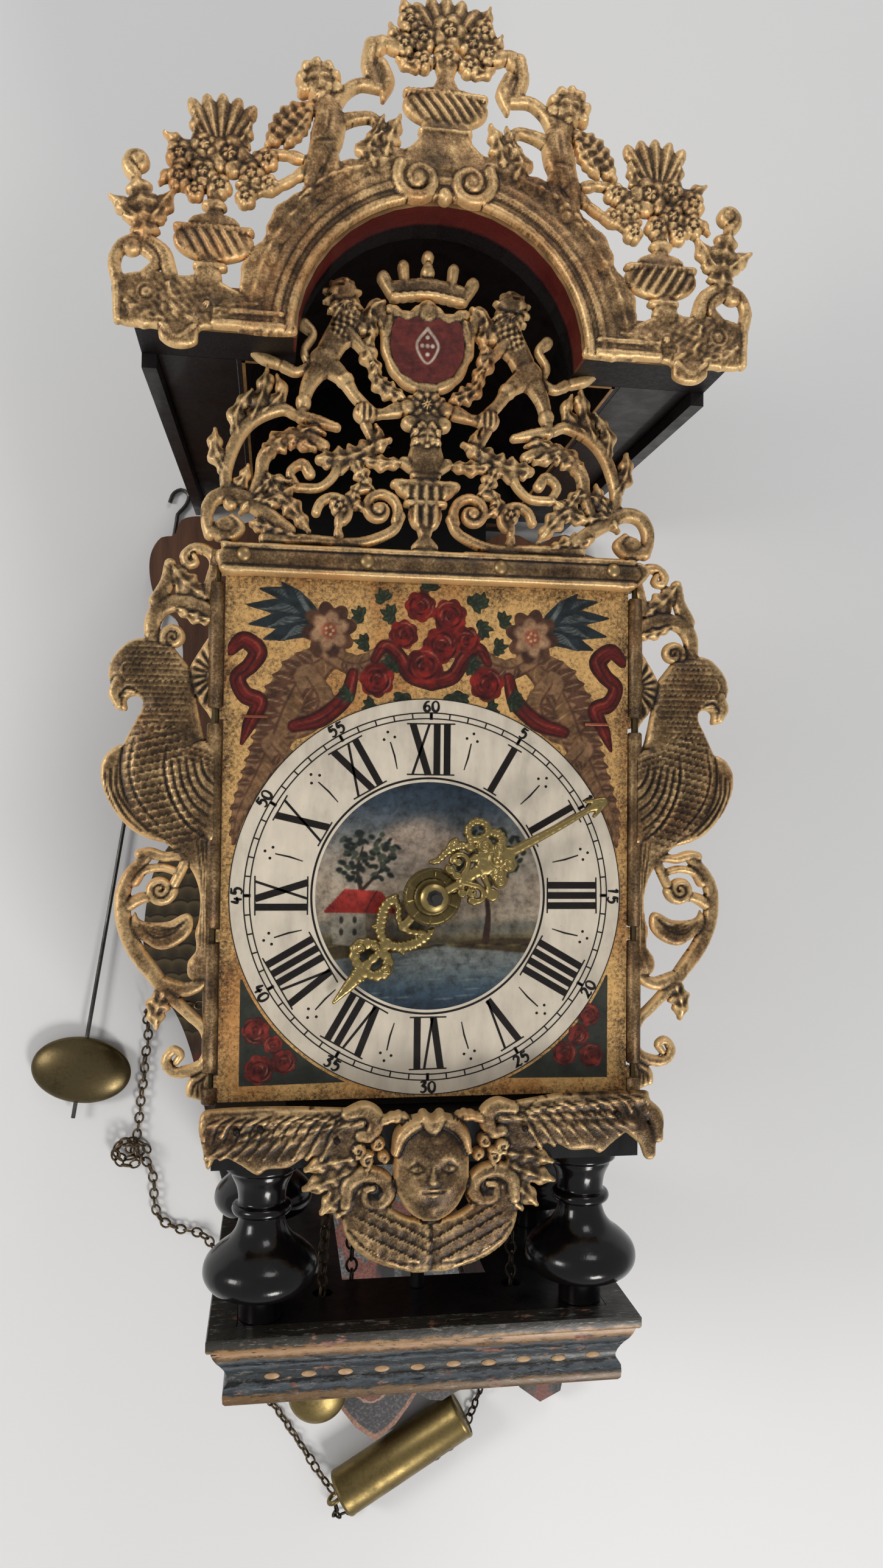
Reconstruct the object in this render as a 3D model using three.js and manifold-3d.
// A Dutch stool clock, lying on its back as it is kept on a bench.
// Millimetres. The wall plane is z = 0 and the dial faces +z. The clock's top points to +y.
// The origin is on the wall plane, on the clock's middle line, behind the middle of the dial.
import * as THREE from 'three';
import { mergeVertices } from 'three/addons/utils/BufferGeometryUtils.js';
import Module from 'manifold-3d';

const wasm = await Module();
wasm.setup();

// Clearances
const seam = 0.3; // between pieces that are nailed or seated on each other
const running = 0.3; // between an arbor and its hole
const toothGap = 0.5; // between the tips of two meshing wheels
const overrun = 2; // how far a cut runs past what it cuts
const lap = 0.5; // how far joined parts of one piece reach into each other

// Backboard
const plankHalfWidth = 62;
const plankThick = 18;
const plankDrop = 339; // lowest tip below the dial's middle
const plankLobes = 49; // height of the lobed lower edge
const headStep = 7; // height of the straight foot of the round head
const nailHole = 5; // radius
const nailRise = 40; // nail hole over the foot of the hood
const hangPlateHalfWidth = 15;
const hangPlateHalfHeight = 18;
const hangPlateThick = 2;
const wingThick = 11;
const wingBack = 5; // the side boards stand this far off the wall
const wingReach = 79;
const wingGap = 10; // side boards under the foot of the hood
const wingBottom = -325;

// Hood
const crownRise = 50; // top fret over the foot of the hood
const shoulderHeight = 18;
const hoodHalfWidth = 121;
const hoodBackHalfWidth = 115;
const hoodFront = 246;
const hoodFrontThick = 25;
const archRadius = 58.5;
const archBand = 23;
const vaultRadius = 79.5;
const vaultWall = 3;
const sideBoard = 6;
const sideDrop = 6;
const soffitThick = 6;
const shoulderThick = 4;

// Hood casting
const crestThick = 4;
const crestHalfWidth = 130;
const crestFoot = 214;
const crestHeight = 152;
const crestLap = 16; // how far it covers the arch band
const crestPendant = 6.5; // radius of the drop in the middle of the arch

// Dial and its castings
const dialHalfWidth = 85.4;
const dialTop = 140;
const dialBottom = -83.2;
const dialFront = 225;
const dialThick = 2;
const dialFeetY = 68;
const dialFoot = 3; // radius
const fretThick = 4;
const railThick = 5;
const railHalfWidth = 86;
const railBottom = 131.3;
const railTop = 143.5;
const topFretHalfWidth = 94;
const topFretHeight = 128.5;
const sideFretReach = 40.4;
const sideFretTop = 142;
const sideFretBottom = -84;
const sideFretThick = 3.5;
const railRodLap = 8; // how far the rods reach up behind the rail's ends
const hingeRod = 1.6; // radius
const knuckle = 3.2; // radius
const knuckleLength = 8;
const lugHeight = 5;

// Stool
const shelfTop = -89;
const shelfThick = 18;
const shelfHalfWidth = 87;
const shelfFront = 236;
const shelfNotch = 28; // half width of the slot for the pendulum rod
const shelfNotchFront = 118;
const baseTop = -171;
const boardThick = 22;
const boardHalfWidth = 76;
const boardFront = 228.6;
const baseMouldHeight = 28.8;
const baseMouldDepth = 11.4;
const cutHalfWidth = 32;
const cutFront = 190;
const chainHole = 4.6; // radius
const chainHoleX = 41;
const chainHoleZ = 202;
const columnX = 67;
const frontColumnZ = 220;
const rearColumnZ = 133;
const bulbRadius = 23.5;
const dowelRadius = 3;
const dowelZ = 200;
const apronHalfWidth = 93;
const apronTop = -81;
const apronHeight = 67;
const apronThick = 5;

// Movement
const cageHalfWidth = 58;
const cageRear = 122;
const cageFront = 214;
const cagePlate = 3;
const cageTop = 88; // underside of the top plate
const pillarRadius = 4;
const pillarX = 52;
const frontPillarZ = 206;
const rearPillarZ = 130;
const barHalfWidth = 7;
const barThick = 3;
const frontBarZ = 196;
const middleBarZ = 158;
const backBarZ = 125;
const slotInner = 13;
const slotOuter = 42;
const slotRear = 134;
const slotFront = 201;
const arbor = 2; // radius
const fineArbor = 1.5; // radius
const wheelThick = 3;
const thinWheel = 2;
const greatWheel = 30; // radius
const greatTeeth = 72;
const greatY = -48;
const pinion = 4; // radius
const finePinion = 3.5; // radius
const pinionLeaves = 6;
const pinionLength = 7;
const sprocket = 12; // radius
const sprocketSpikes = 8;
const sprocketLength = 7;
const contrate = 24; // radius
const contrateTeeth = 60;
const contrateRim = 3;
const contrateDepth = 3.5;
const crownRadius = 11;
const crownTeeth = 15;
const crownRim = 1.6;
const crownDepth = 8;
const crownBase = 62; // height of the crown wheel's disc
const crownFoot = 2;
const vergeY = 79;
const palletWide = 4;
const palletThick = 2;
const crutchDrop = 68;
const crutchThick = 3;
const hoop = 22; // radius
const hoopTeeth = 54;
const flyHalfWidth = 16;
const flyLength = 9;
const flyThick = 1.6;
const countRadius = 26;
const countTeeth = 39;
const hammerX = 36;
const hammerY = 70;
const hammerHead = 5; // radius
const hammerHeadX = 44.5;
const hammerHeadY = 108;
const hammerHeadLength = 9;
const hammerArm = 1.6; // half thickness
const hammerTail = 26;
const bellRadius = 42;
const bellWall = 2.5;
const bellMouth = 100;
const bellHeight = 34;
const bellZ = 165;
const bellPost = 2.5; // radius
const bellShoulder = 5; // radius
const nutHeight = 3.6;
const cockThick = 2.4;
const cockReach = 10;
const cockHalfDepth = 3;
const hammerSlotOut = 6;
const hammerSlotIn = 5;
const hammerCockHalf = 4;
const countStud = 6;
const pivotEnd = 2.5; // depth of an arbor's end in its bar
const toothDepth = 2;
const leafDepth = 1.2;

// Motion work and hands
const cannonWheel = 15; // radius
const cannonTeeth = 30;
const minutePinion = 3.2; // radius
const hourTeeth = 72;
const hourPipe = 4.5; // outer radius
const alarmRadius = 12;
const hourHandZ = 229;
const alarmZ = 233;
const minuteHandZ = 238.5;
const handThick = 1.5;
const hourHandLength = 59;
const minuteHandLength = 82;
const handTip = 247;
const handNut = 3.4; // radius
const hourHandTurn = 222.5; // degrees clockwise from the top
const minuteHandTurn = 60.5;

// Pendulum, weights and chain
const rodRadius = 1.2;
const hookDepth = 10;
const hookSteps = 16;
const bobX = 28.5;
const bobY = 19.2;
const bobHalfThick = 7;
const rodLength = 380;
const rodTail = 28; // rod below the bob's middle
const bobAlong = rodLength - rodTail; // from the top of the hook
const hookPlace = [-123.3, 230.4, 2];
const pendulumLean = 8.4; // degrees
const weightRadius = 13.5;
const weightLength = 84;
const weightEye = 4.2;
const weightEyeWire = 1.3;
const weightFoot = [-19.6, -370.7];
const weightTurn = 30.2; // degrees from +x
const counterRadius = 17;
const counterThick = 14;
const counterPlace = [-35, -305];
const chainRadius = 3.25;
const chainSides = 8;
const chainStepShare = 4.6; // chain radii from one step to the next
const knotRadius = 11;
const knotHeight = 6;
const knotPlace = [-146, -168, 7.2];

// Fineness
const roundSides = 16;
const smallSides = 8;
const archSides = 36;
const arcSteps = 9;
const degree = Math.PI / 180;

// Sizes that follow
const boardTopZ = plankThick + seam;
const headRadius = vaultRadius - seam;
const frontBoardBack = hoodFront - hoodFrontThick;
const hoodFoot = railTop + topFretHeight - crownRise;
const hoodTopY = hoodFoot + shoulderHeight;
const nailHeight = hoodFoot + nailRise;
const wingTop = hoodFoot - wingGap;
const hoodRearLength = frontBoardBack - seam;
const fretBack = dialFront + seam;
const rodX = dialHalfWidth + seam + knuckle;
const rodZ = dialFront - dialThick / 2;
const fretInner = rodX + hingeRod + seam;
const shelfBottom = shelfTop - shelfThick;
const cageBottom = shelfTop + seam + cagePlate; // upper face of the bottom plate
const hole = arbor + running;
const fineHole = fineArbor + running;
const countY = greatY + pinion + countRadius + toothGap;
const greatZ = (frontBarZ + middleBarZ + barThick) / 2 - wheelThick / 2 + running;
const secondY = greatY + greatWheel + pinion + toothGap;
const contrateZ = frontBarZ - 2 * wheelThick;
const crownZ = contrateZ - contrateDepth - finePinion - toothGap;
const strikeZ = middleBarZ - 2 * pinion;
const hoopZ = strikeZ - pinionLength - thinWheel;
const flyY = secondY + hoop + finePinion + toothGap;
const motionX = 2 * cannonWheel + toothGap;
const hourWheel = motionX - minutePinion - toothGap;
const cannonZ = frontBarZ + 2 * barThick + seam;
const hourWheelZ = cannonZ + thinWheel + 2 * seam;
const dialBack = dialFront - dialThick;
const crestBack = hoodFront + seam;

const colours = {
  giltLead: [0x9a7a3e, 0.45, 0.8],
  giltWood: [0xa8873f, 0.5, 0.6],
  blackWood: [0x161413, 0.4, 0.0],
  brownWood: [0x6b4a33, 0.6, 0.0],
  darkRed: [0x5a1a18, 0.6, 0.0],
  paintedDial: [0xb49a5a, 0.6, 0.2],
  brass: [0xb08d4a, 0.35, 0.9],
  iron: [0x3d3a37, 0.55, 0.8],
  steel: [0x8d8a86, 0.35, 0.9],
};

const clock = new THREE.Group();

function named(name, geometry, colour) {
  const [color, roughness, metalness] = colours[colour];
  const mesh = new THREE.Mesh(geometry, new THREE.MeshStandardMaterial({ color, roughness, metalness }));
  mesh.name = name;
  clock.add(mesh);
  return mesh;
}

// Solids that are joined or cut
function solidOf(geometry) {
  const bare = geometry.clone();
  bare.deleteAttribute('normal');
  bare.deleteAttribute('uv');
  const merged = mergeVertices(bare);
  const vertProperties = Float32Array.from(merged.attributes.position.array);
  const triVerts = Uint32Array.from(merged.index.array);
  return new wasm.Manifold(new wasm.Mesh({ numProp: 3, vertProperties, triVerts }));
}

function geometryOf(solid) {
  const mesh = solid.getMesh();
  const geometry = new THREE.BufferGeometry();
  geometry.setAttribute('position', new THREE.BufferAttribute(mesh.vertProperties, 3));
  geometry.setIndex(new THREE.BufferAttribute(mesh.triVerts, 1));
  return geometry;
}

function joined(geometries) {
  return geometryOf(geometries.map(solidOf).reduce((sum, next) => sum.add(next)));
}

function cut(geometry, tools) {
  return geometryOf(tools.map(solidOf).reduce((rest, tool) => rest.subtract(tool), solidOf(geometry)));
}

// Plain shapes, each in its place
function box(x0, x1, y0, y1, z0, z1) {
  const geometry = new THREE.BoxGeometry(x1 - x0, y1 - y0, z1 - z0);
  return geometry.translate((x0 + x1) / 2, (y0 + y1) / 2, (z0 + z1) / 2);
}

function outline(points) {
  return new THREE.Shape(points.map(([x, y]) => new THREE.Vector2(x, y)));
}

function slab(shape, z0, z1) {
  const geometry = new THREE.ExtrudeGeometry(shape, {
    depth: z1 - z0, bevelEnabled: false, curveSegments: arcSteps,
  });
  return geometry.translate(0, 0, z0);
}

// A prism with an outline in x and z that stands from y0 to y1
function upright(points, y0, y1) {
  const shape = outline(points.map(([x, z]) => [x, -z]));
  const geometry = new THREE.ExtrudeGeometry(shape, { depth: y1 - y0, bevelEnabled: false });
  return geometry.rotateX(-Math.PI / 2).translate(0, y0, 0);
}

function rodZWise(radius, x, y, z0, z1, sides = smallSides) {
  const geometry = new THREE.CylinderGeometry(radius, radius, z1 - z0, sides);
  return geometry.rotateX(Math.PI / 2).translate(x, y, (z0 + z1) / 2);
}

function rodYWise(radius, x, z, y0, y1, sides = smallSides) {
  const geometry = new THREE.CylinderGeometry(radius, radius, y1 - y0, sides);
  return geometry.translate(x, (y0 + y1) / 2, z);
}

function turned(profile, sides = roundSides) {
  return new THREE.LatheGeometry(profile.map(([r, y]) => new THREE.Vector2(r, y)), sides);
}

function toothed(radius, teeth, depth, x, y, z0, z1) {
  const points = [];
  for (let i = 0; i < 2 * teeth; i += 1) {
    const r = i % 2 ? radius : radius - depth;
    const turn = (i * Math.PI) / teeth;
    points.push([x + r * Math.cos(turn), y + r * Math.sin(turn)]);
  }
  return slab(outline(points), z0, z1);
}

function ovalPoints(x, y, rx, ry, sides) {
  const points = [];
  for (let i = 0; i < sides; i += 1) {
    const a = (2 * Math.PI * i) / sides;
    points.push([x + rx * Math.cos(a), y + ry * Math.sin(a)]);
  }
  return points;
}

function bentBar(places, thick, z0, z1) {
  const slabs = places.map(([x, y]) => slab(outline(ovalPoints(x, y, thick, thick, smallSides)), z0, z1));
  for (let i = 1; i < places.length; i += 1) {
    const [x0, y0] = places[i - 1];
    const [x1, y1] = places[i];
    const far = Math.hypot(x1 - x0, y1 - y0) / thick;
    const nx = -(y1 - y0) / far;
    const ny = (x1 - x0) / far;
    slabs.push(slab(outline([
      [x0 - nx, y0 - ny], [x1 - nx, y1 - ny], [x1 + nx, y1 + ny], [x0 + nx, y0 + ny],
    ]), z0, z1));
  }
  return slabs;
}

function pierced(points, hollows, z0, z1) {
  const tools = hollows.map((hollow) => slab(outline(hollow), z0 - overrun, z1 + overrun));
  return cut(slab(outline(points), z0, z1), tools);
}

// A flat casting from the right half of its outline and of its holes, as shares of the half width
// and of the height
function mirrored(half, low, high, halfShares, holeShares, z0, z1) {
  const place = (side) => ([x, y]) => [side * x * half, low + y * (high - low)];
  const left = halfShares.filter(([x]) => x > 0).map(place(-1)).reverse();
  const hollows = [-1, 1].flatMap((side) => holeShares.map((hollow) => hollow.map(place(side))));
  return pierced([...halfShares.map(place(1)), ...left], hollows, z0, z1);
}

// Backboard with a round head and a lobed foot
const plankLobeShares = [
  [1, 0], [0.97, 0.24], [0.84, 0.45], [0.76, 0.49], [0.645, 0.57], [0.52, 0.55], [0.4, 0.45],
  [0.32, 0.61], [0.19, 0.82],
];

function backboard() {
  const lobesTop = -plankDrop + plankLobes;
  const lobes = plankLobeShares.map(([x, y]) => [x * plankHalfWidth, lobesTop - y * plankLobes]);
  const shape = new THREE.Shape();
  const headFoot = hoodFoot - headStep;
  shape.moveTo(0, -plankDrop);
  [...lobes].reverse().forEach(([x, y]) => shape.lineTo(x, y));
  shape.lineTo(plankHalfWidth, headFoot);
  shape.lineTo(headRadius, headFoot);
  shape.lineTo(headRadius, hoodFoot);
  shape.absarc(0, hoodFoot, headRadius, 0, Math.PI, false);
  shape.lineTo(-headRadius, headFoot);
  shape.lineTo(-plankHalfWidth, headFoot);
  lobes.forEach(([x, y]) => shape.lineTo(-x, y));
  const nail = rodZWise(nailHole, 0, nailHeight, -overrun, plankThick + overrun);
  return cut(slab(shape, 0, plankThick), [nail]);
}

const wingShares = [
  [0, 0.985], [0.12, 0.996], [0.27, 0.994], [0.43, 0.983], [0.53, 0.994], [0.64, 0.998], [0.76, 0.993],
  [0.81, 0.976], [0.91, 0.972], [0.98, 0.953], [0.98, 0.926], [0.92, 0.899], [0.78, 0.881],
  [0.73, 0.844], [0.755, 0.806], [0.73, 0.764], [0.69, 0.717], [0.69, 0.67], [0.78, 0.639],
  [0.91, 0.605], [0.97, 0.559], [0.97, 0.512], [0.857, 0.471], [0.74, 0.449], [0.63, 0.41],
  [0.53, 0.354], [0.44, 0.298], [0.35, 0.251], [0.25, 0.205], [0.17, 0.149], [0.2, 0.102],
  [0.376, 0.076], [0.578, 0.065], [0.69, 0.041], [0.65, 0.013], [0.49, 0.002], [0.325, 0.02],
  [0.2, 0.047], [0.1, 0.065], [0, 0.084],
];

function wingBoard(side) {
  const points = wingShares.map(([x, y]) => [
    side * (plankHalfWidth + seam + x * wingReach), wingBottom + y * (wingTop - wingBottom),
  ]);
  return slab(outline(points), wingBack, wingBack + wingThick);
}

function hangingPlate() {
  const z0 = boardTopZ;
  const plate = box(
    -hangPlateHalfWidth, hangPlateHalfWidth, nailHeight - hangPlateHalfHeight,
    nailHeight + hangPlateHalfHeight, z0, z0 + hangPlateThick,
  );
  return cut(plate, [rodZWise(nailHole, 0, nailHeight, z0 - overrun, z0 + hangPlateThick + overrun)]);
}

// Hood
function hoodFrontBoard() {
  const outer = archRadius + archBand;
  const meet = Math.asin(shoulderHeight / outer);
  const shape = new THREE.Shape();
  shape.moveTo(archRadius, hoodFoot);
  shape.lineTo(hoodHalfWidth, hoodFoot);
  shape.lineTo(hoodHalfWidth, hoodTopY);
  shape.absarc(0, hoodFoot, outer, meet, Math.PI - meet, false);
  shape.lineTo(-hoodHalfWidth, hoodTopY);
  shape.lineTo(-hoodHalfWidth, hoodFoot);
  shape.absarc(0, hoodFoot, archRadius, Math.PI, 0, true);
  return slab(shape, frontBoardBack, hoodFront);
}

function hoodVault() {
  const shape = new THREE.Shape();
  shape.absarc(0, hoodFoot, vaultRadius + vaultWall, 0, Math.PI, false);
  shape.absarc(0, hoodFoot, vaultRadius, Math.PI, 0, true);
  return slab(shape, 0, hoodRearLength);
}

function hoodSide(side) {
  const outer = [[side * hoodBackHalfWidth, 0], [side * hoodHalfWidth, hoodRearLength]];
  const inner = outer.map(([x, z]) => [x - side * sideBoard, z]).reverse();
  const middle = side * (vaultRadius + vaultWall + seam);
  const board = upright([...outer, ...inner], hoodFoot - sideDrop, hoodTopY);
  const roof = upright(
    [...outer, [middle, hoodRearLength], [middle, 0]], hoodTopY - shoulderThick, hoodTopY,
  );
  return joined([board, roof]);
}

function hoodSoffit(side) {
  const reach = sideBoard + seam;
  const middle = side * (vaultRadius + vaultWall + seam);
  return upright([
    [side * (hoodBackHalfWidth - reach), 0], [side * (hoodHalfWidth - reach), hoodRearLength],
    [middle, hoodRearLength], [middle, 0],
  ], hoodFoot, hoodFoot + soffitThick);
}

// Hood casting: leaf scrolls, vases of flowers, winged children and a crowning bunch
const crestShares = [
  [0.504, 0.056], [0.708, 0.056], [0.738, 0.02], [0.8, 0], [0.862, 0.02], [0.892, 0.056],
  [0.977, 0.056], [0.985, 0.118], [0.977, 0.171], [1, 0.217], [0.977, 0.263], [0.938, 0.289],
  [0.977, 0.322], [1, 0.375], [0.962, 0.421], [0.962, 0.467], [0.923, 0.507], [0.877, 0.48],
  [0.869, 0.421], [0.831, 0.382], [0.831, 0.322], [0.846, 0.283], [0.815, 0.289], [0.808, 0.329],
  [0.746, 0.342], [0.738, 0.382], [0.8, 0.401], [0.854, 0.447], [0.838, 0.513], [0.854, 0.559],
  [0.792, 0.579], [0.754, 0.618], [0.723, 0.664], [0.677, 0.678], [0.638, 0.638], [0.585, 0.592],
  [0.546, 0.546], [0.492, 0.53], [0.469, 0.546], [0.531, 0.559], [0.477, 0.625], [0.431, 0.658],
  [0.462, 0.704], [0.462, 0.75], [0.431, 0.783], [0.369, 0.783], [0.331, 0.75], [0.292, 0.753],
  [0.238, 0.763], [0.238, 0.836], [0.192, 0.868], [0.154, 0.849], [0.154, 0.914], [0.115, 0.967],
  [0.054, 0.987], [0, 1],
];
const crestHoleShares = [
  [[0.462, 0.464], [0.527, 0.438], [0.538, 0.497], [0.458, 0.503]],
  [[0.277, 0.579], [0.315, 0.563], [0.331, 0.605], [0.254, 0.625], [0.235, 0.602]],
  [[0.223, 0.671], [0.308, 0.655], [0.315, 0.68], [0.277, 0.71], [0.218, 0.702]],
  [[0.054, 0.75], [0.146, 0.753], [0.162, 0.796], [0.085, 0.789], [0.046, 0.773]],
  [[0.885, 0.204], [0.908, 0.224], [0.938, 0.211], [0.923, 0.184]],
];

function hoodCrest() {
  const z0 = crestBack;
  const z1 = crestBack + crestThick;
  const high = crestFoot + crestHeight;
  const body = mirrored(crestHalfWidth, crestFoot, high, crestShares, crestHoleShares, z0, z1);
  const inner = archRadius + archBand - crestLap;
  const arch = rodZWise(inner, 0, hoodFoot, z0 - overrun, z1 + overrun, archSides);
  const pendant = rodZWise(crestPendant, 0, hoodFoot + inner, z0, z1);
  return joined([cut(body, [arch]), pendant]);
}

// Casting over the dial: crown, shield with two lions, shell, vase and scrolls, on its rail
const topFretShares = [
  [0.915, 0], [0.979, 0.027], [1, 0.089], [0.957, 0.152], [0.899, 0.179], [0.904, 0.253],
  [0.894, 0.315], [0.947, 0.362], [0.894, 0.397], [0.851, 0.385], [0.846, 0.463], [0.809, 0.51],
  [0.771, 0.463], [0.777, 0.405], [0.681, 0.436], [0.633, 0.444], [0.622, 0.486], [0.612, 0.549],
  [0.67, 0.56], [0.676, 0.591], [0.601, 0.599], [0.59, 0.681], [0.564, 0.72], [0.543, 0.665],
  [0.516, 0.712], [0.468, 0.774], [0.468, 0.837], [0.436, 0.895], [0.362, 0.903], [0.314, 0.868],
  [0.309, 0.805], [0.25, 0.798], [0.207, 0.825], [0.202, 0.868], [0.229, 0.914], [0.181, 0.938],
  [0.138, 0.918], [0.112, 0.965], [0.064, 0.953], [0.037, 1],
];
const topFretHoleShares = [
  [[0.824, 0.082], [0.862, 0.047], [0.92, 0.07], [0.91, 0.117], [0.846, 0.121]],
  [[0.489, 0.183], [0.5, 0.113], [0.585, 0.16], [0.617, 0.214], [0.574, 0.249], [0.5, 0.237]],
  [[0.793, 0.195], [0.846, 0.214], [0.846, 0.284], [0.809, 0.331], [0.771, 0.315], [0.793, 0.268]],
  [[0.271, 0.545], [0.319, 0.537], [0.372, 0.595], [0.351, 0.623], [0.287, 0.607]],
  [[0.394, 0.436], [0.543, 0.455], [0.516, 0.525], [0.447, 0.537], [0.372, 0.467]],
  [[0.106, 0.385], [0.213, 0.385], [0.266, 0.42], [0.202, 0.467], [0.128, 0.49]],
  [[0.17, 0.23], [0.287, 0.214], [0.351, 0.261], [0.277, 0.272], [0.191, 0.288]],
];

function topFret() {
  const z0 = fretBack;
  const body = mirrored(
    topFretHalfWidth, railTop, railTop + topFretHeight, topFretShares, topFretHoleShares, z0,
    z0 + fretThick,
  );
  const rail = box(-railHalfWidth, railHalfWidth, railBottom, railTop + lap, z0, z0 + railThick);
  return joined([body, rail]);
}

// Side casting: a parrot on a scroll, hung on the rod beside the dial. Shares run from the inner edge
// outwards and from the foot up.
const sideFretShares = [
  [0, 0], [0.153, 0.004], [0.277, 0.044], [0.277, 0.08], [0.376, 0.106], [0.376, 0.142],
  [0.252, 0.159], [0.475, 0.159], [0.55, 0.186], [0.426, 0.206], [0.252, 0.212], [0.351, 0.226],
  [0.55, 0.248], [0.772, 0.279], [0.933, 0.327], [0.946, 0.385], [0.797, 0.412], [0.76, 0.46],
  [0.748, 0.5], [0.871, 0.531], [0.99, 0.575], [0.995, 0.628], [0.896, 0.664], [0.748, 0.681],
  [0.735, 0.704], [0.859, 0.701], [0.896, 0.735], [1, 0.77], [0.946, 0.81], [0.772, 0.832],
  [0.537, 0.825], [0.525, 0.854], [0.611, 0.876], [0.55, 0.903], [0.413, 0.929], [0.5, 0.969],
  [0.401, 0.987], [0.277, 0.978], [0.228, 1], [0, 1],
];
const sideFretHoleShares = [
  [[0.116, 0.931], [0.302, 0.936], [0.265, 0.96], [0.116, 0.965]],
  [[0.104, 0.841], [0.215, 0.839], [0.277, 0.867], [0.463, 0.872], [0.401, 0.892], [0.104, 0.883]],
  [[0.104, 0.721], [0.252, 0.715], [0.24, 0.681], [0.129, 0.65], [0.09, 0.664]],
  [[0.19, 0.478], [0.302, 0.496], [0.364, 0.531], [0.252, 0.553], [0.178, 0.54]],
  [[0.203, 0.294], [0.451, 0.296], [0.624, 0.321], [0.735, 0.363], [0.661, 0.387], [0.562, 0.35],
    [0.351, 0.314]],
];
const knuckleShares = [0.15, 0.5, 0.87];

function sideFret(side) {
  const z0 = rodZ - sideFretThick / 2;
  const high = sideFretTop - sideFretBottom;
  const place = ([x, y]) => [side * (fretInner + x * sideFretReach), sideFretBottom + y * high];
  const hollows = sideFretHoleShares.map((hollow) => hollow.map(place));
  const body = pierced(sideFretShares.map(place), hollows, z0, z0 + sideFretThick);
  const knuckles = knuckleShares.map((share) => {
    const y = sideFretBottom + share * high;
    return rodYWise(knuckle, side * rodX, rodZ, y - knuckleLength / 2, y + knuckleLength / 2);
  });
  const bore = rodYWise(
    hingeRod + running, side * rodX, rodZ, sideFretBottom - overrun, sideFretTop + overrun,
  );
  return cut(joined([body, ...knuckles]), [bore]);
}

function hingeRodPiece(side) {
  return rodYWise(hingeRod, side * rodX, rodZ, sideFretBottom, railBottom + railRodLap);
}

// Dial plate with its feet, the lugs of the hinge rods and the stud of the minute wheel
const lugShares = [0.04, 0.3, 0.7, 0.96];

function dialPlate() {
  const body = [box(-dialHalfWidth, dialHalfWidth, dialBottom, dialTop, dialBack, dialFront)];
  [-1, 1].forEach((side) => {
    [-dialFeetY, dialFeetY].forEach((y) => {
      const footBack = frontPillarZ + pillarRadius + seam;
      body.push(rodZWise(dialFoot, side * pillarX, y, footBack, dialBack + lap));
    });
    lugShares.forEach((share) => {
      const y = sideFretBottom + share * (sideFretTop - sideFretBottom);
      const xs = [side * (dialHalfWidth - lap), side * (rodX - hingeRod - seam)].sort((a, b) => a - b);
      body.push(box(xs[0], xs[1], y - lugHeight / 2, y + lugHeight / 2, dialBack, dialFront));
    });
  });
  body.push(rodZWise(fineArbor, motionX, 0, cannonZ - 2 * seam, dialBack + lap));
  return cut(joined(body), [
    rodZWise(hourPipe + running, 0, 0, dialBack - overrun, dialFront + overrun, roundSides),
  ]);
}

// Stool: shelf, base, columns and the casting under the dial
function chainSlots(y0, y1) {
  return [-1, 1].map((side) => {
    const xs = [side * slotInner, side * slotOuter].sort((a, b) => a - b);
    return box(xs[0], xs[1], y0 - overrun, y1 + overrun, slotRear, slotFront);
  });
}

function stoolTop() {
  const board = box(-shelfHalfWidth, shelfHalfWidth, shelfBottom, shelfTop, boardTopZ, shelfFront);
  const notch = box(
    -shelfNotch, shelfNotch, shelfBottom - overrun, shelfTop + overrun, -overrun, shelfNotchFront,
  );
  return cut(board, [notch, ...chainSlots(shelfBottom, shelfTop)]);
}

function baseBoard() {
  const low = baseTop - boardThick;
  const board = box(-boardHalfWidth, boardHalfWidth, low, baseTop, boardTopZ, boardFront);
  const tools = [box(-cutHalfWidth, cutHalfWidth, low - overrun, baseTop + overrun, -overrun, cutFront)];
  [-1, 1].forEach((side) => {
    tools.push(rodYWise(chainHole, side * chainHoleX, chainHoleZ, low - overrun, baseTop + overrun));
  });
  return cut(board, tools);
}

// Moulding round the front and both ends, from shares of its depth and height, top first
const mouldingShares = [
  [0, 0], [1, 0], [1, -0.16], [0.86, -0.21], [0.74, -0.34], [0.49, -0.52], [0.28, -0.63],
  [0.3, -0.69], [0.42, -0.75], [0.42, -0.9], [0.34, -1], [0, -1],
];

function baseMoulding() {
  const half = boardHalfWidth + seam;
  const front = boardFront + seam;
  const rings = [];
  const stations = [
    (d) => [-half - d, boardTopZ], (d) => [-half - d, front + d],
    (d) => [half + d, front + d], (d) => [half + d, boardTopZ],
  ];
  stations.forEach((station) => {
    mouldingShares.forEach(([share, drop]) => {
      const [x, z] = station(share * baseMouldDepth);
      rings.push(x, baseTop + drop * baseMouldHeight, z);
    });
  });
  const count = mouldingShares.length;
  const faces = [];
  for (let s = 0; s + 1 < stations.length; s += 1) {
    for (let i = 0; i < count; i += 1) {
      const [a, b] = [s * count + i, s * count + ((i + 1) % count)];
      faces.push(a, b, a + count, b, b + count, a + count);
    }
  }
  const section = mouldingShares.map(([x, y]) => new THREE.Vector2(x, y));
  const last = (stations.length - 1) * count;
  THREE.ShapeUtils.triangulateShape(section, []).forEach(([a, b, c]) => {
    faces.push(a, b, c, last + c, last + b, last + a);
  });
  const geometry = new THREE.BufferGeometry();
  geometry.setAttribute('position', new THREE.Float32BufferAttribute(rings, 3));
  geometry.setIndex(faces);
  return geometry;
}

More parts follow.
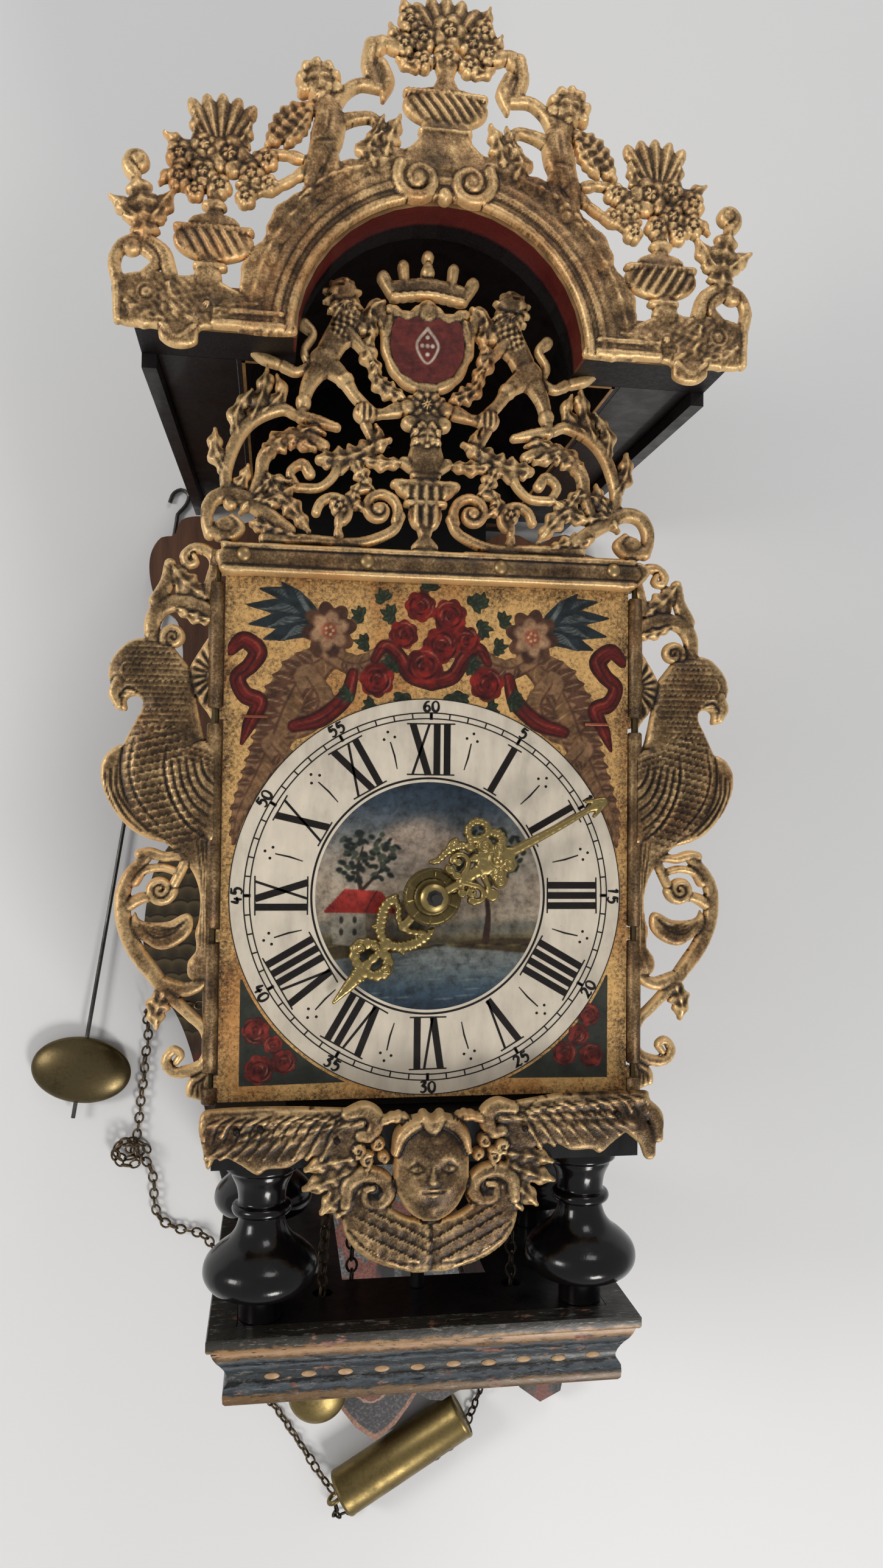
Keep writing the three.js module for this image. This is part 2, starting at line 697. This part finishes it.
// Turned column, shares of the bulb's radius and of the height, from the foot up
const columnShares = [
  [0, 0], [0.38, 0], [0.38, 0.13], [0.86, 0.2], [1, 0.3], [0.92, 0.41], [0.56, 0.54], [0.4, 0.62],
  [0.52, 0.67], [0.5, 0.72], [0.42, 0.77], [0.6, 0.93], [0.62, 1], [0, 1],
];

function column(x, z) {
  const foot = baseTop + seam;
  const height = shelfBottom - seam - foot;
  const profile = columnShares.map(([r, y]) => [r * bulbRadius, foot + y * height]);
  return turned(profile).translate(x, 0, z);
}

const apronShares = [
  [0, 0], [0.054, 0], [0.172, 0.075], [0.28, 0.209], [0.366, 0.388], [0.43, 0.537], [0.538, 0.627],
  [0.656, 0.604], [0.753, 0.701], [0.86, 0.724], [0.968, 0.642], [1, 0.687], [0.968, 0.821],
  [0.989, 0.955], [0.903, 1], [0.71, 0.985], [0.538, 0.993], [0.43, 0.94], [0.323, 0.955],
  [0.215, 0.896], [0.12, 0.955], [0, 0.97],
];

function cherubApron() {
  const z0 = shelfFront + seam;
  return mirrored(
    apronHalfWidth, apronTop - apronHeight, apronTop, apronShares, [], z0, z0 + apronThick,
  );
}

// Movement cage
function bottomPlate() {
  const y0 = cageBottom - cagePlate;
  const plate = box(-cageHalfWidth, cageHalfWidth, y0, cageBottom, cageRear, cageFront);
  return cut(plate, chainSlots(y0, cageBottom));
}

const hammerZ = (middleBarZ + backBarZ + barThick) / 2;

function topPlate() {
  const plate = box(
    -cageHalfWidth, cageHalfWidth, cageTop, cageTop + cagePlate, cageRear, cageFront,
  );
  const cockTop = vergeY - fineArbor - toothGap;
  const cock = box(
    -cockHalfDepth, cockReach, cockTop - cockThick, cockTop, crownZ - cockHalfDepth,
    crownZ + cockHalfDepth,
  );
  const hanger = box(
    cockReach - cockHalfDepth, cockReach, cockTop - cockThick, cageTop + lap,
    crownZ - cockHalfDepth, crownZ + cockHalfDepth,
  );
  const lean = (hammerHeadX - hammerX) / (hammerHeadY - hammerY);
  const x = hammerX + lean * (cageTop - hammerY);
  const slot = box(
    x - hammerSlotIn, x + hammerSlotOut + hammerArm, cageTop - overrun, cageTop + cagePlate + overrun,
    hammerZ - hammerHead, hammerZ + hammerHead,
  );
  return cut(joined([plate, cock, hanger]), [slot]);
}

function pillar(x, z) {
  return rodYWise(pillarRadius, x, z, cageBottom + seam, cageTop - seam);
}

function bar(z, holes, extras = []) {
  const body = box(
    -barHalfWidth, barHalfWidth, cageBottom + seam, cageTop - seam, z, z + barThick,
  );
  const bores = holes.map(([r, x, y]) => rodZWise(r, x, y, z - overrun, z + barThick + overrun));
  return cut(joined([body, ...extras]), bores);
}

function hammerCock(z) {
  return box(
    barHalfWidth - lap, hammerX + hammerCockHalf, hammerY - hammerCockHalf, hammerY + hammerCockHalf,
    z, z + barThick,
  );
}

function frontBar() {
  return bar(frontBarZ, [[hole, 0, greatY], [hole, 0, secondY], [fineHole, 0, vergeY], [hole, 0, 0]]);
}

function middleBar() {
  const potence = box(
    -cockHalfDepth, cockHalfDepth, crownFoot - seam - cockThick, crownFoot - seam,
    middleBarZ + barThick - lap, crownZ + cockHalfDepth,
  );
  return bar(middleBarZ, [
    [hole, 0, greatY], [hole, 0, secondY], [fineHole, 0, vergeY], [fineHole, 0, flyY],
    [hole, hammerX, hammerY],
  ], [potence, hammerCock(middleBarZ)]);
}

function backBar() {
  const stud = rodZWise(arbor, 0, countY, backBarZ - countStud, backBarZ + lap);
  return bar(backBarZ, [
    [hole, 0, greatY], [hole, 0, secondY], [fineHole, 0, vergeY], [fineHole, 0, flyY],
    [hole, hammerX, hammerY],
  ], [stud, hammerCock(backBarZ)]);
}

// Arbors, each ending inside the bars that hold it
const frontEnd = frontBarZ + pivotEnd;
const middleFromFront = middleBarZ + barThick / 2 + running;
const middleFromBack = middleBarZ + barThick / 2 - running;
const backEnd = backBarZ + barThick - pivotEnd;

function goingGreatWheel() {
  const sprocketZ = middleBarZ + barThick + seam + thinWheel;
  return joined([
    rodZWise(arbor, 0, greatY, middleFromFront, frontEnd),
    toothed(greatWheel, greatTeeth, toothDepth, 0, greatY, greatZ, greatZ + wheelThick),
    toothed(sprocket, sprocketSpikes, toothDepth, 0, greatY, sprocketZ, sprocketZ + sprocketLength),
  ]);
}

function contrateWheel() {
  const back = contrateZ - contrateDepth;
  const rim = slab(ringShape(contrate, contrate - contrateRim, 0, secondY), back, contrateZ + lap);
  const half = (Math.PI * contrate) / contrateTeeth / 2;
  const gaps = [];
  for (let i = 0; i < contrateTeeth; i += 3) {
    const gap = box(
      contrate - contrateRim - overrun, contrate + overrun, -half, half, back - overrun, back + toothDepth,
    );
    gaps.push(gap.rotateZ((2 * Math.PI * i) / contrateTeeth).translate(0, secondY, 0));
  }
  return joined([
    rodZWise(arbor, 0, secondY, middleFromFront, frontEnd),
    toothed(pinion, pinionLeaves, leafDepth, 0, secondY, greatZ - arbor, greatZ - arbor + pinionLength),
    cut(rim, gaps), rodZWise(contrate, 0, secondY, contrateZ, contrateZ + thinWheel, roundSides),
  ]);
}

function ringShape(outer, inner, x, y) {
  const shape = new THREE.Shape();
  shape.absarc(x, y, outer, 0, 2 * Math.PI, false);
  const hollow = new THREE.Path();
  hollow.absarc(x, y, inner, 0, 2 * Math.PI, true);
  shape.holes.push(hollow);
  return shape;
}

function crownWheel() {
  const top = crownBase + crownDepth + thinWheel;
  const cockTop = vergeY - fineArbor - toothGap;
  const pinionFoot = secondY + contrate - contrateRim - lap;
  const rim = slab(ringShape(crownRadius, crownRadius - crownRim, 0, 0), 0, crownDepth + lap);
  const gaps = [];
  for (let i = 0; i < crownTeeth; i += 1) {
    const gap = box(
      crownRadius - crownRim - overrun, crownRadius + overrun, -crownRim / 2, crownRim / 2,
      crownDepth - crownRim, crownDepth + overrun,
    );
    gaps.push(gap.rotateZ((2 * Math.PI * i) / crownTeeth));
  }
  const cup = cut(rim, gaps).rotateX(-Math.PI / 2).translate(0, top - crownDepth - lap, crownZ);
  return joined([
    rodYWise(fineArbor, 0, crownZ, crownFoot, cockTop - cockThick - seam),
    rodYWise(finePinion, 0, crownZ, pinionFoot, pinionFoot + pinionLength, pinionLeaves * 2),
    rodYWise(crownRadius, 0, crownZ, crownBase, crownBase + thinWheel, roundSides), cup,
  ]);
}

function verge() {
  const top = crownBase + crownDepth + thinWheel;
  const rear = cageRear - wheelThick * 3;
  const pallets = [-1, 1].map((side) => {
    const z = crownZ + side * (crownRadius - crownRim / 2);
    return box(
      -palletThick / 2, palletThick / 2, top + toothGap, vergeY, z - palletWide / 2, z + palletWide / 2,
    );
  });
  const crutch = box(
    -crutchThick / 2, crutchThick / 2, vergeY - crutchDrop, vergeY, rear, rear + crutchThick,
  );
  return joined([rodZWise(fineArbor, 0, vergeY, rear, frontEnd), ...pallets, crutch]);
}

function strikeGreatWheel() {
  const sprocketZ = backBarZ + barThick + wheelThick;
  const report = backBarZ - seam - thinWheel;
  return joined([
    rodZWise(arbor, 0, greatY, report - arbor, middleFromBack),
    toothed(pinion, pinionLeaves, leafDepth, 0, greatY, report - lap, report + thinWheel),
    toothed(greatWheel, greatTeeth, toothDepth, 0, greatY, strikeZ, strikeZ + wheelThick),
    toothed(sprocket, sprocketSpikes, toothDepth, 0, greatY, sprocketZ, sprocketZ + sprocketLength),
  ]);
}

function hoopWheel() {
  return joined([
    rodZWise(arbor, 0, secondY, backEnd, middleFromBack),
    toothed(pinion, pinionLeaves, leafDepth, 0, secondY, strikeZ - arbor, strikeZ - arbor + pinionLength),
    toothed(hoop, hoopTeeth, toothDepth, 0, secondY, hoopZ, hoopZ + thinWheel),
  ]);
}

function fly() {
  const front = hoopZ - seam - thinWheel;
  return joined([
    rodZWise(fineArbor, 0, flyY, backEnd, middleFromBack),
    toothed(finePinion, pinionLeaves, leafDepth, 0, flyY, hoopZ - thinWheel / 2, hoopZ + 2 * thinWheel),
    box(-flyHalfWidth, flyHalfWidth, flyY - flyThick / 2, flyY + flyThick / 2, front - flyLength, front),
  ]);
}

function countWheel() {
  const z0 = backBarZ - seam - thinWheel;
  const wheel = toothed(countRadius, countTeeth, toothDepth, 0, countY, z0, z0 + thinWheel);
  return cut(wheel, [rodZWise(hole, 0, countY, z0 - overrun, backBarZ)]);
}

function hammer() {
  const arm = bentBar([
    [hammerX - hammerArm, hammerY - hammerTail], [hammerX, hammerY], [hammerHeadX, hammerHeadY],
  ], hammerArm, hammerZ - hammerArm, hammerZ + hammerArm);
  const head = new THREE.CylinderGeometry(hammerHead, hammerHead, hammerHeadLength, smallSides)
    .rotateZ(Math.PI / 2).translate(hammerHeadX, hammerHeadY, hammerZ);
  const staff = rodZWise(arbor, hammerX, hammerY, backEnd, middleFromBack + pivotEnd);
  return joined([staff, ...arm, head]);
}

// Bell: shares of its radius and height, outside from the mouth up, then inside back down
const bellShares = [
  [1, 0], [0.9, 0.12], [0.78, 0.4], [0.66, 0.7], [0.5, 0.9], [0.28, 1],
];

function bell() {
  const outside = bellShares.map(([r, y]) => [r * bellRadius, bellMouth + y * bellHeight]);
  const crown = bellMouth + bellHeight;
  const inside = bellShares.map(([r, y]) => [
    r * bellRadius - bellWall, bellMouth + y * (bellHeight - bellWall),
  ]).reverse();
  const bore = bellPost + running;
  const profile = [...outside, [bore, crown], [bore, crown - bellWall], ...inside];
  profile.push(profile[0]);
  return turned(profile).translate(0, 0, bellZ);
}

function bellStand() {
  const foot = cageTop + cagePlate + seam;
  const under = bellMouth + bellHeight - bellWall - seam;
  const over = bellMouth + bellHeight + seam;
  return joined([
    rodYWise(bellPost, 0, bellZ, foot, over + 2 * nutHeight),
    rodYWise(bellShoulder, 0, bellZ, foot, foot + nutHeight),
    rodYWise(bellShoulder, 0, bellZ, under - nutHeight, under),
    rodYWise(bellShoulder, 0, bellZ, over, over + nutHeight, pinionLeaves),
  ]);
}

// Motion work
function minuteArbor() {
  const nutZ = minuteHandZ + handThick + seam;
  return joined([
    rodZWise(arbor, 0, 0, frontBarZ + lap, handTip),
    toothed(cannonWheel, cannonTeeth, toothDepth, 0, 0, cannonZ, cannonZ + thinWheel),
    rodZWise(handNut, 0, 0, nutZ, nutZ + thinWheel),
  ]);
}

function minuteWheel() {
  const wheel = joined([
    toothed(cannonWheel, cannonTeeth, toothDepth, motionX, 0, cannonZ, cannonZ + thinWheel),
    toothed(
      minutePinion, pinionLeaves, leafDepth / 2, motionX, 0, cannonZ + thinWheel - lap,
      hourWheelZ + 2 * thinWheel,
    ),
  ]);
  return cut(wheel, [rodZWise(fineHole, motionX, 0, cannonZ - overrun, dialBack)]);
}

function hourWheelPiece() {
  const pipeTop = alarmZ + handThick + seam;
  const wheel = joined([
    toothed(hourWheel, hourTeeth, toothDepth, 0, 0, hourWheelZ, hourWheelZ + thinWheel),
    rodZWise(hourPipe, 0, 0, hourWheelZ, pipeTop, roundSides),
  ]);
  return cut(wheel, [rodZWise(hole, 0, 0, hourWheelZ - overrun, pipeTop + overrun, roundSides)]);
}

function alarmDisc() {
  const disc = rodZWise(alarmRadius, 0, 0, alarmZ, alarmZ + handThick, roundSides);
  const bore = hourPipe + running;
  return cut(disc, [rodZWise(bore, 0, 0, alarmZ - overrun, alarmZ + handThick + overrun, roundSides)]);
}

// Hands: right half of the outline and the hole, as shares of the hand's length, pointing up
const hourHandShares = [
  [0.05, 0.1], [0.05, 0.26], [0.16, 0.38], [0.17, 0.5], [0.12, 0.62], [0.05, 0.68], [0.15, 0.72],
  [0.16, 0.77], [0.05, 0.79], [0.035, 0.9], [0.01, 1],
];
const hourHoleShares = [[[0, 0.3], [0.09, 0.42], [0.09, 0.54], [0, 0.64]]];
const minuteHandShares = [
  [0.02, 0.02], [0.02, 0.13], [0.07, 0.22], [0.075, 0.32], [0.03, 0.42], [0.08, 0.45], [0.08, 0.48],
  [0.025, 0.5], [0.012, 0.8], [0.006, 1],
];
const minuteHoleShares = [[[0, 0.17], [0.04, 0.24], [0.04, 0.32], [0, 0.39]]];
const bossShare = 0.5; // width of a hand's boss round its bore

function hand(halfShares, holeShares, long, bore, turn, z) {
  const blade = mirrored(long, 0, long, halfShares, holeShares, z, z + handThick);
  const boss = rodZWise(bore * (1 + bossShare) + seam, 0, 0, z, z + handThick, roundSides);
  const body = joined([blade, boss]).rotateZ(-turn * degree);
  return cut(body, [rodZWise(bore, 0, 0, z - overrun, z + handThick + overrun, roundSides)]);
}

// Pendulum, unhooked and laid beside the clock
function pendulumLine(along) {
  const lean = pendulumLean * degree;
  const [x, y, z] = hookPlace;
  const lift = ((bobHalfThick + seam - z) * along) / bobAlong;
  return new THREE.Vector3(x - Math.sin(lean) * along, y - Math.cos(lean) * along, z + lift);
}

function tube(points, radius, sides, steps) {
  const section = outline(ovalPoints(0, 0, radius, radius, sides));
  const extrudePath = new THREE.CatmullRomCurve3(points);
  return new THREE.ExtrudeGeometry(section, { steps, bevelEnabled: false, extrudePath });
}

const hookShares = [[-0.72, -0.82], [-0.5, -0.25], [0, 0], [0.4, -0.3], [0.28, -0.85], [-0.05, -1.3]];

function pendulumRod() {
  const [hx, hy, hz] = hookPlace;
  const straight = pendulumLine(2 * hookDepth);
  const hook = hookShares.map(([x, y]) => new THREE.Vector3(hx + x * hookDepth, hy + y * hookDepth, hz));
  hook.push(pendulumLine((3 * hookDepth) / 2), straight);
  const straightRod = [pendulumLine(2 * hookDepth - lap), pendulumLine(rodLength)];
  const rod = tube(straightRod, rodRadius, smallSides, 1);
  return joined([tube(hook, rodRadius, smallSides, hookSteps), rod]);
}

const lensShares = [[0, -1], [0.5, -0.86], [0.85, -0.5], [1, -0.1], [1, 0.1], [0.85, 0.5], [0.5, 0.86], [0, 1]];

function pendulumBob() {
  const lens = turned(lensShares).rotateX(Math.PI / 2).scale(bobX, bobY, bobHalfThick);
  lens.rotateZ(-pendulumLean * degree);
  const middle = pendulumLine(bobAlong);
  lens.translate(middle.x, middle.y, middle.z);
  const bore = tube(
    [pendulumLine(bobAlong - 2 * bobY), pendulumLine(bobAlong + 2 * bobY)], rodRadius + running,
    chainSides, 1,
  );
  return cut(lens, [bore]);
}

const weightShares = [
  [0, 0], [0.55, 0], [0.92, 0.02], [1, 0.05], [1, 0.93], [0.9, 0.975], [0.5, 1], [0, 1],
];

function weight() {
  const profile = weightShares.map(([r, y]) => [r * weightRadius, y * weightLength]);
  const eye = new THREE.TorusGeometry(weightEye, weightEyeWire, chainSides, smallSides + 2);
  eye.translate(0, -weightEye, 0);
  const body = joined([turned(profile), eye]);
  body.rotateZ(weightTurn * degree - Math.PI / 2);
  return body.translate(weightFoot[0], weightFoot[1], weightRadius + seam);
}

function counterweight() {
  const lens = turned(lensShares).rotateX(Math.PI / 2);
  lens.scale(counterRadius, counterRadius, counterThick / 2);
  return lens.translate(counterPlace[0], counterPlace[1], boardTopZ + counterThick / 2);
}

// Chain routes, as they lie
const tableRoute = [
  [-15.6, -44, 134.5], [-20, -50, 135], [-32, -61, 138], [-44, -72, 140], [-53, -77, 139.5],
  [-62, -80, 130], [-71, -80, 108], [-80, -79.5, 70], [-88, -79, 40], [-97, -79, 24.5],
  [-107, -79, 20.2], [-117, -78.5, 19.8], [-127.5, -78.5, 20.2], [-134.5, -81, 16],
  [-138, -86, 7.5], [-137.5, -94, 3.6], [-137.5, -103, 3.5], [-139, -113, 3.5], [-139.2, -123, 3.5],
  [-140.6, -133, 3.5], [-141.4, -145, 3.5], [-142.5, -156, 3.5], [-143.8, -167, 4.5],
  [-136, -175, 3.5], [-132.5, -186, 3.5], [-132, -198, 3.5], [-127.5, -208.5, 3.5],
  [-116, -214.5, 3.5], [-105, -217, 4.5], [-97.5, -222, 10], [-91, -231, 17.5], [-85, -243, 20],
  [-78, -258, 20], [-72.5, -273, 20.2], [-70, -288, 20.8], [-68.5, -300, 17.6], [-66.5, -310, 10],
  [-61.5, -319, 4.5], [-56, -327, 3.5], [-50, -336, 3.5], [-43.5, -346, 3.5], [-37.5, -354.5, 5],
  [-32, -361, 9.5], [-25.7, -367.2, 13.6],
];
const leftFrontRoute = [
  [-15.6, -50, 167], [-15.6, -62, 167.5], [-16.8, -76, 169], [-20.5, -88, 176], [-27, -103, 188],
  [-34, -120, 197], [-39.5, -140, 201], [-41, -158, 202], [-41, -171, 202], [-41, -184, 202],
  [-41, -196, 201], [-41, -206, 195], [-41, -211, 178], [-41, -214, 140], [-41, -217, 100],
  [-41, -221, 60], [-41, -232, 32], [-41, -250, 23], [-40, -268, 22], [-39.4, -278, 23.3],
  [-38.8, -288, 25.2],
];
const rightFrontRoute = [
  [15.6, -50, 167], [15.6, -62, 167.5], [16.8, -76, 169], [20.5, -88, 176], [27, -103, 188],
  [34, -120, 197], [39.5, -140, 201], [41, -158, 202], [41, -171, 202], [41, -184, 202],
  [41, -196, 201], [41, -206, 195], [41.5, -211, 178], [42, -214, 140], [43, -217, 100],
  [45, -222, 60], [49, -234, 33], [56, -251, 23], [64, -269, 21], [69.5, -287, 20.8],
  [69, -300, 17.6], [67.5, -310, 10], [65.5, -321, 4.5], [61, -333, 3.5], [53.5, -348, 3.5],
  [40, -357.5, 3.5], [20, -368.5, 3.5], [2, -379, 3.5], [-10, -385.5, 3.5], [-18.5, -388, 5],
  [-22.4, -385, 9.5], [-22.4, -379.2, 13.4],
];
const rearRoute = [
  [15.6, -52, 134.5], [13.2, -62, 135], [5, -70, 138], [-7, -76, 144], [-17, -80.5, 150],
  [-22, -89, 159], [-26, -106, 173], [-28, -126, 182], [-28, -144, 185], [-27.5, -160, 185],
  [-27.5, -176, 185], [-27.5, -192, 184], [-28, -203, 177], [-28.5, -209, 158], [-29, -213, 120],
  [-29.5, -217, 80], [-30, -224, 46], [-30, -238, 26], [-30.5, -254, 22], [-31, -268, 22],
  [-31.2, -278, 23.3], [-31.6, -288, 25.2],
];

function chain(route) {
  const points = route.map(([x, y, z]) => new THREE.Vector3(x, y, z));
  const length = new THREE.CatmullRomCurve3(points).getLength();
  return tube(points, chainRadius, chainSides, Math.round(length / (chainStepShare * chainRadius)));
}

function tableChain() {
  const knot = new THREE.SphereGeometry(1, smallSides, pinionLeaves);
  knot.scale(knotRadius, knotRadius, knotHeight).translate(...knotPlace);
  return joined([chain(tableRoute), knot]);
}

named('backboard', backboard(), 'brownWood');
named('hanging_plate', hangingPlate(), 'iron');
named('hood_front_board', hoodFrontBoard(), 'giltWood');
named('hood_vault', hoodVault(), 'darkRed');
named('hood_crest', hoodCrest(), 'giltLead');
named('dial_plate', dialPlate(), 'paintedDial');
named('top_fret', topFret(), 'giltLead');
named('stool_top', stoolTop(), 'blackWood');
named('base_board', baseBoard(), 'blackWood');
named('base_moulding', baseMoulding(), 'giltWood');
named('cherub_apron', cherubApron(), 'giltLead');
named('centre_dowel', rodYWise(dowelRadius, 0, dowelZ, baseTop + seam, shelfBottom - seam), 'blackWood');
[['left', -1], ['right', 1]].forEach(([word, side]) => {
  named(`${word}_wing_board`, wingBoard(side), 'brownWood');
  named(`hood_${word}_side`, hoodSide(side), 'blackWood');
  named(`hood_${word}_soffit`, hoodSoffit(side), 'blackWood');
  named(`${word}_fret`, sideFret(side), 'giltLead');
  named(`${word}_hinge_rod`, hingeRodPiece(side), 'iron');
  [['front', frontColumnZ, frontPillarZ], ['rear', rearColumnZ, rearPillarZ]].forEach(([end, z, pz]) => {
    named(`${end}_${word}_column`, column(side * columnX, z), 'blackWood');
    named(`${end}_${word}_pillar`, pillar(side * pillarX, pz), 'iron');
  });
});
named('bottom_plate', bottomPlate(), 'iron');
named('top_plate', topPlate(), 'iron');
named('front_bar', frontBar(), 'iron');
named('middle_bar', middleBar(), 'iron');
named('back_bar', backBar(), 'iron');
named('going_great_wheel', goingGreatWheel(), 'brass');
named('contrate_wheel', contrateWheel(), 'brass');
named('crown_wheel', crownWheel(), 'brass');
named('verge', verge(), 'steel');
named('strike_great_wheel', strikeGreatWheel(), 'brass');
named('hoop_wheel', hoopWheel(), 'brass');
named('fly', fly(), 'brass');
named('count_wheel', countWheel(), 'brass');
named('hammer', hammer(), 'steel');
named('bell', bell(), 'brass');
named('bell_stand', bellStand(), 'iron');
named('minute_arbor', minuteArbor(), 'steel');
named('minute_wheel', minuteWheel(), 'brass');
named('hour_wheel', hourWheelPiece(), 'brass');
named('alarm_disc', alarmDisc(), 'brass');
named('hour_hand', hand(
  hourHandShares, hourHoleShares, hourHandLength, hourPipe + running, hourHandTurn, hourHandZ,
), 'brass');
named('minute_hand', hand(
  minuteHandShares, minuteHoleShares, minuteHandLength, hole, minuteHandTurn, minuteHandZ,
), 'brass');
named('pendulum_rod', pendulumRod(), 'steel');
named('pendulum_bob', pendulumBob(), 'brass');
named('weight', weight(), 'brass');
named('counterweight', counterweight(), 'brass');
named('table_chain', tableChain(), 'iron');
named('left_front_chain', chain(leftFrontRoute), 'iron');
named('right_front_chain', chain(rightFrontRoute), 'iron');
named('rear_chain', chain(rearRoute), 'brass');

export default clock;
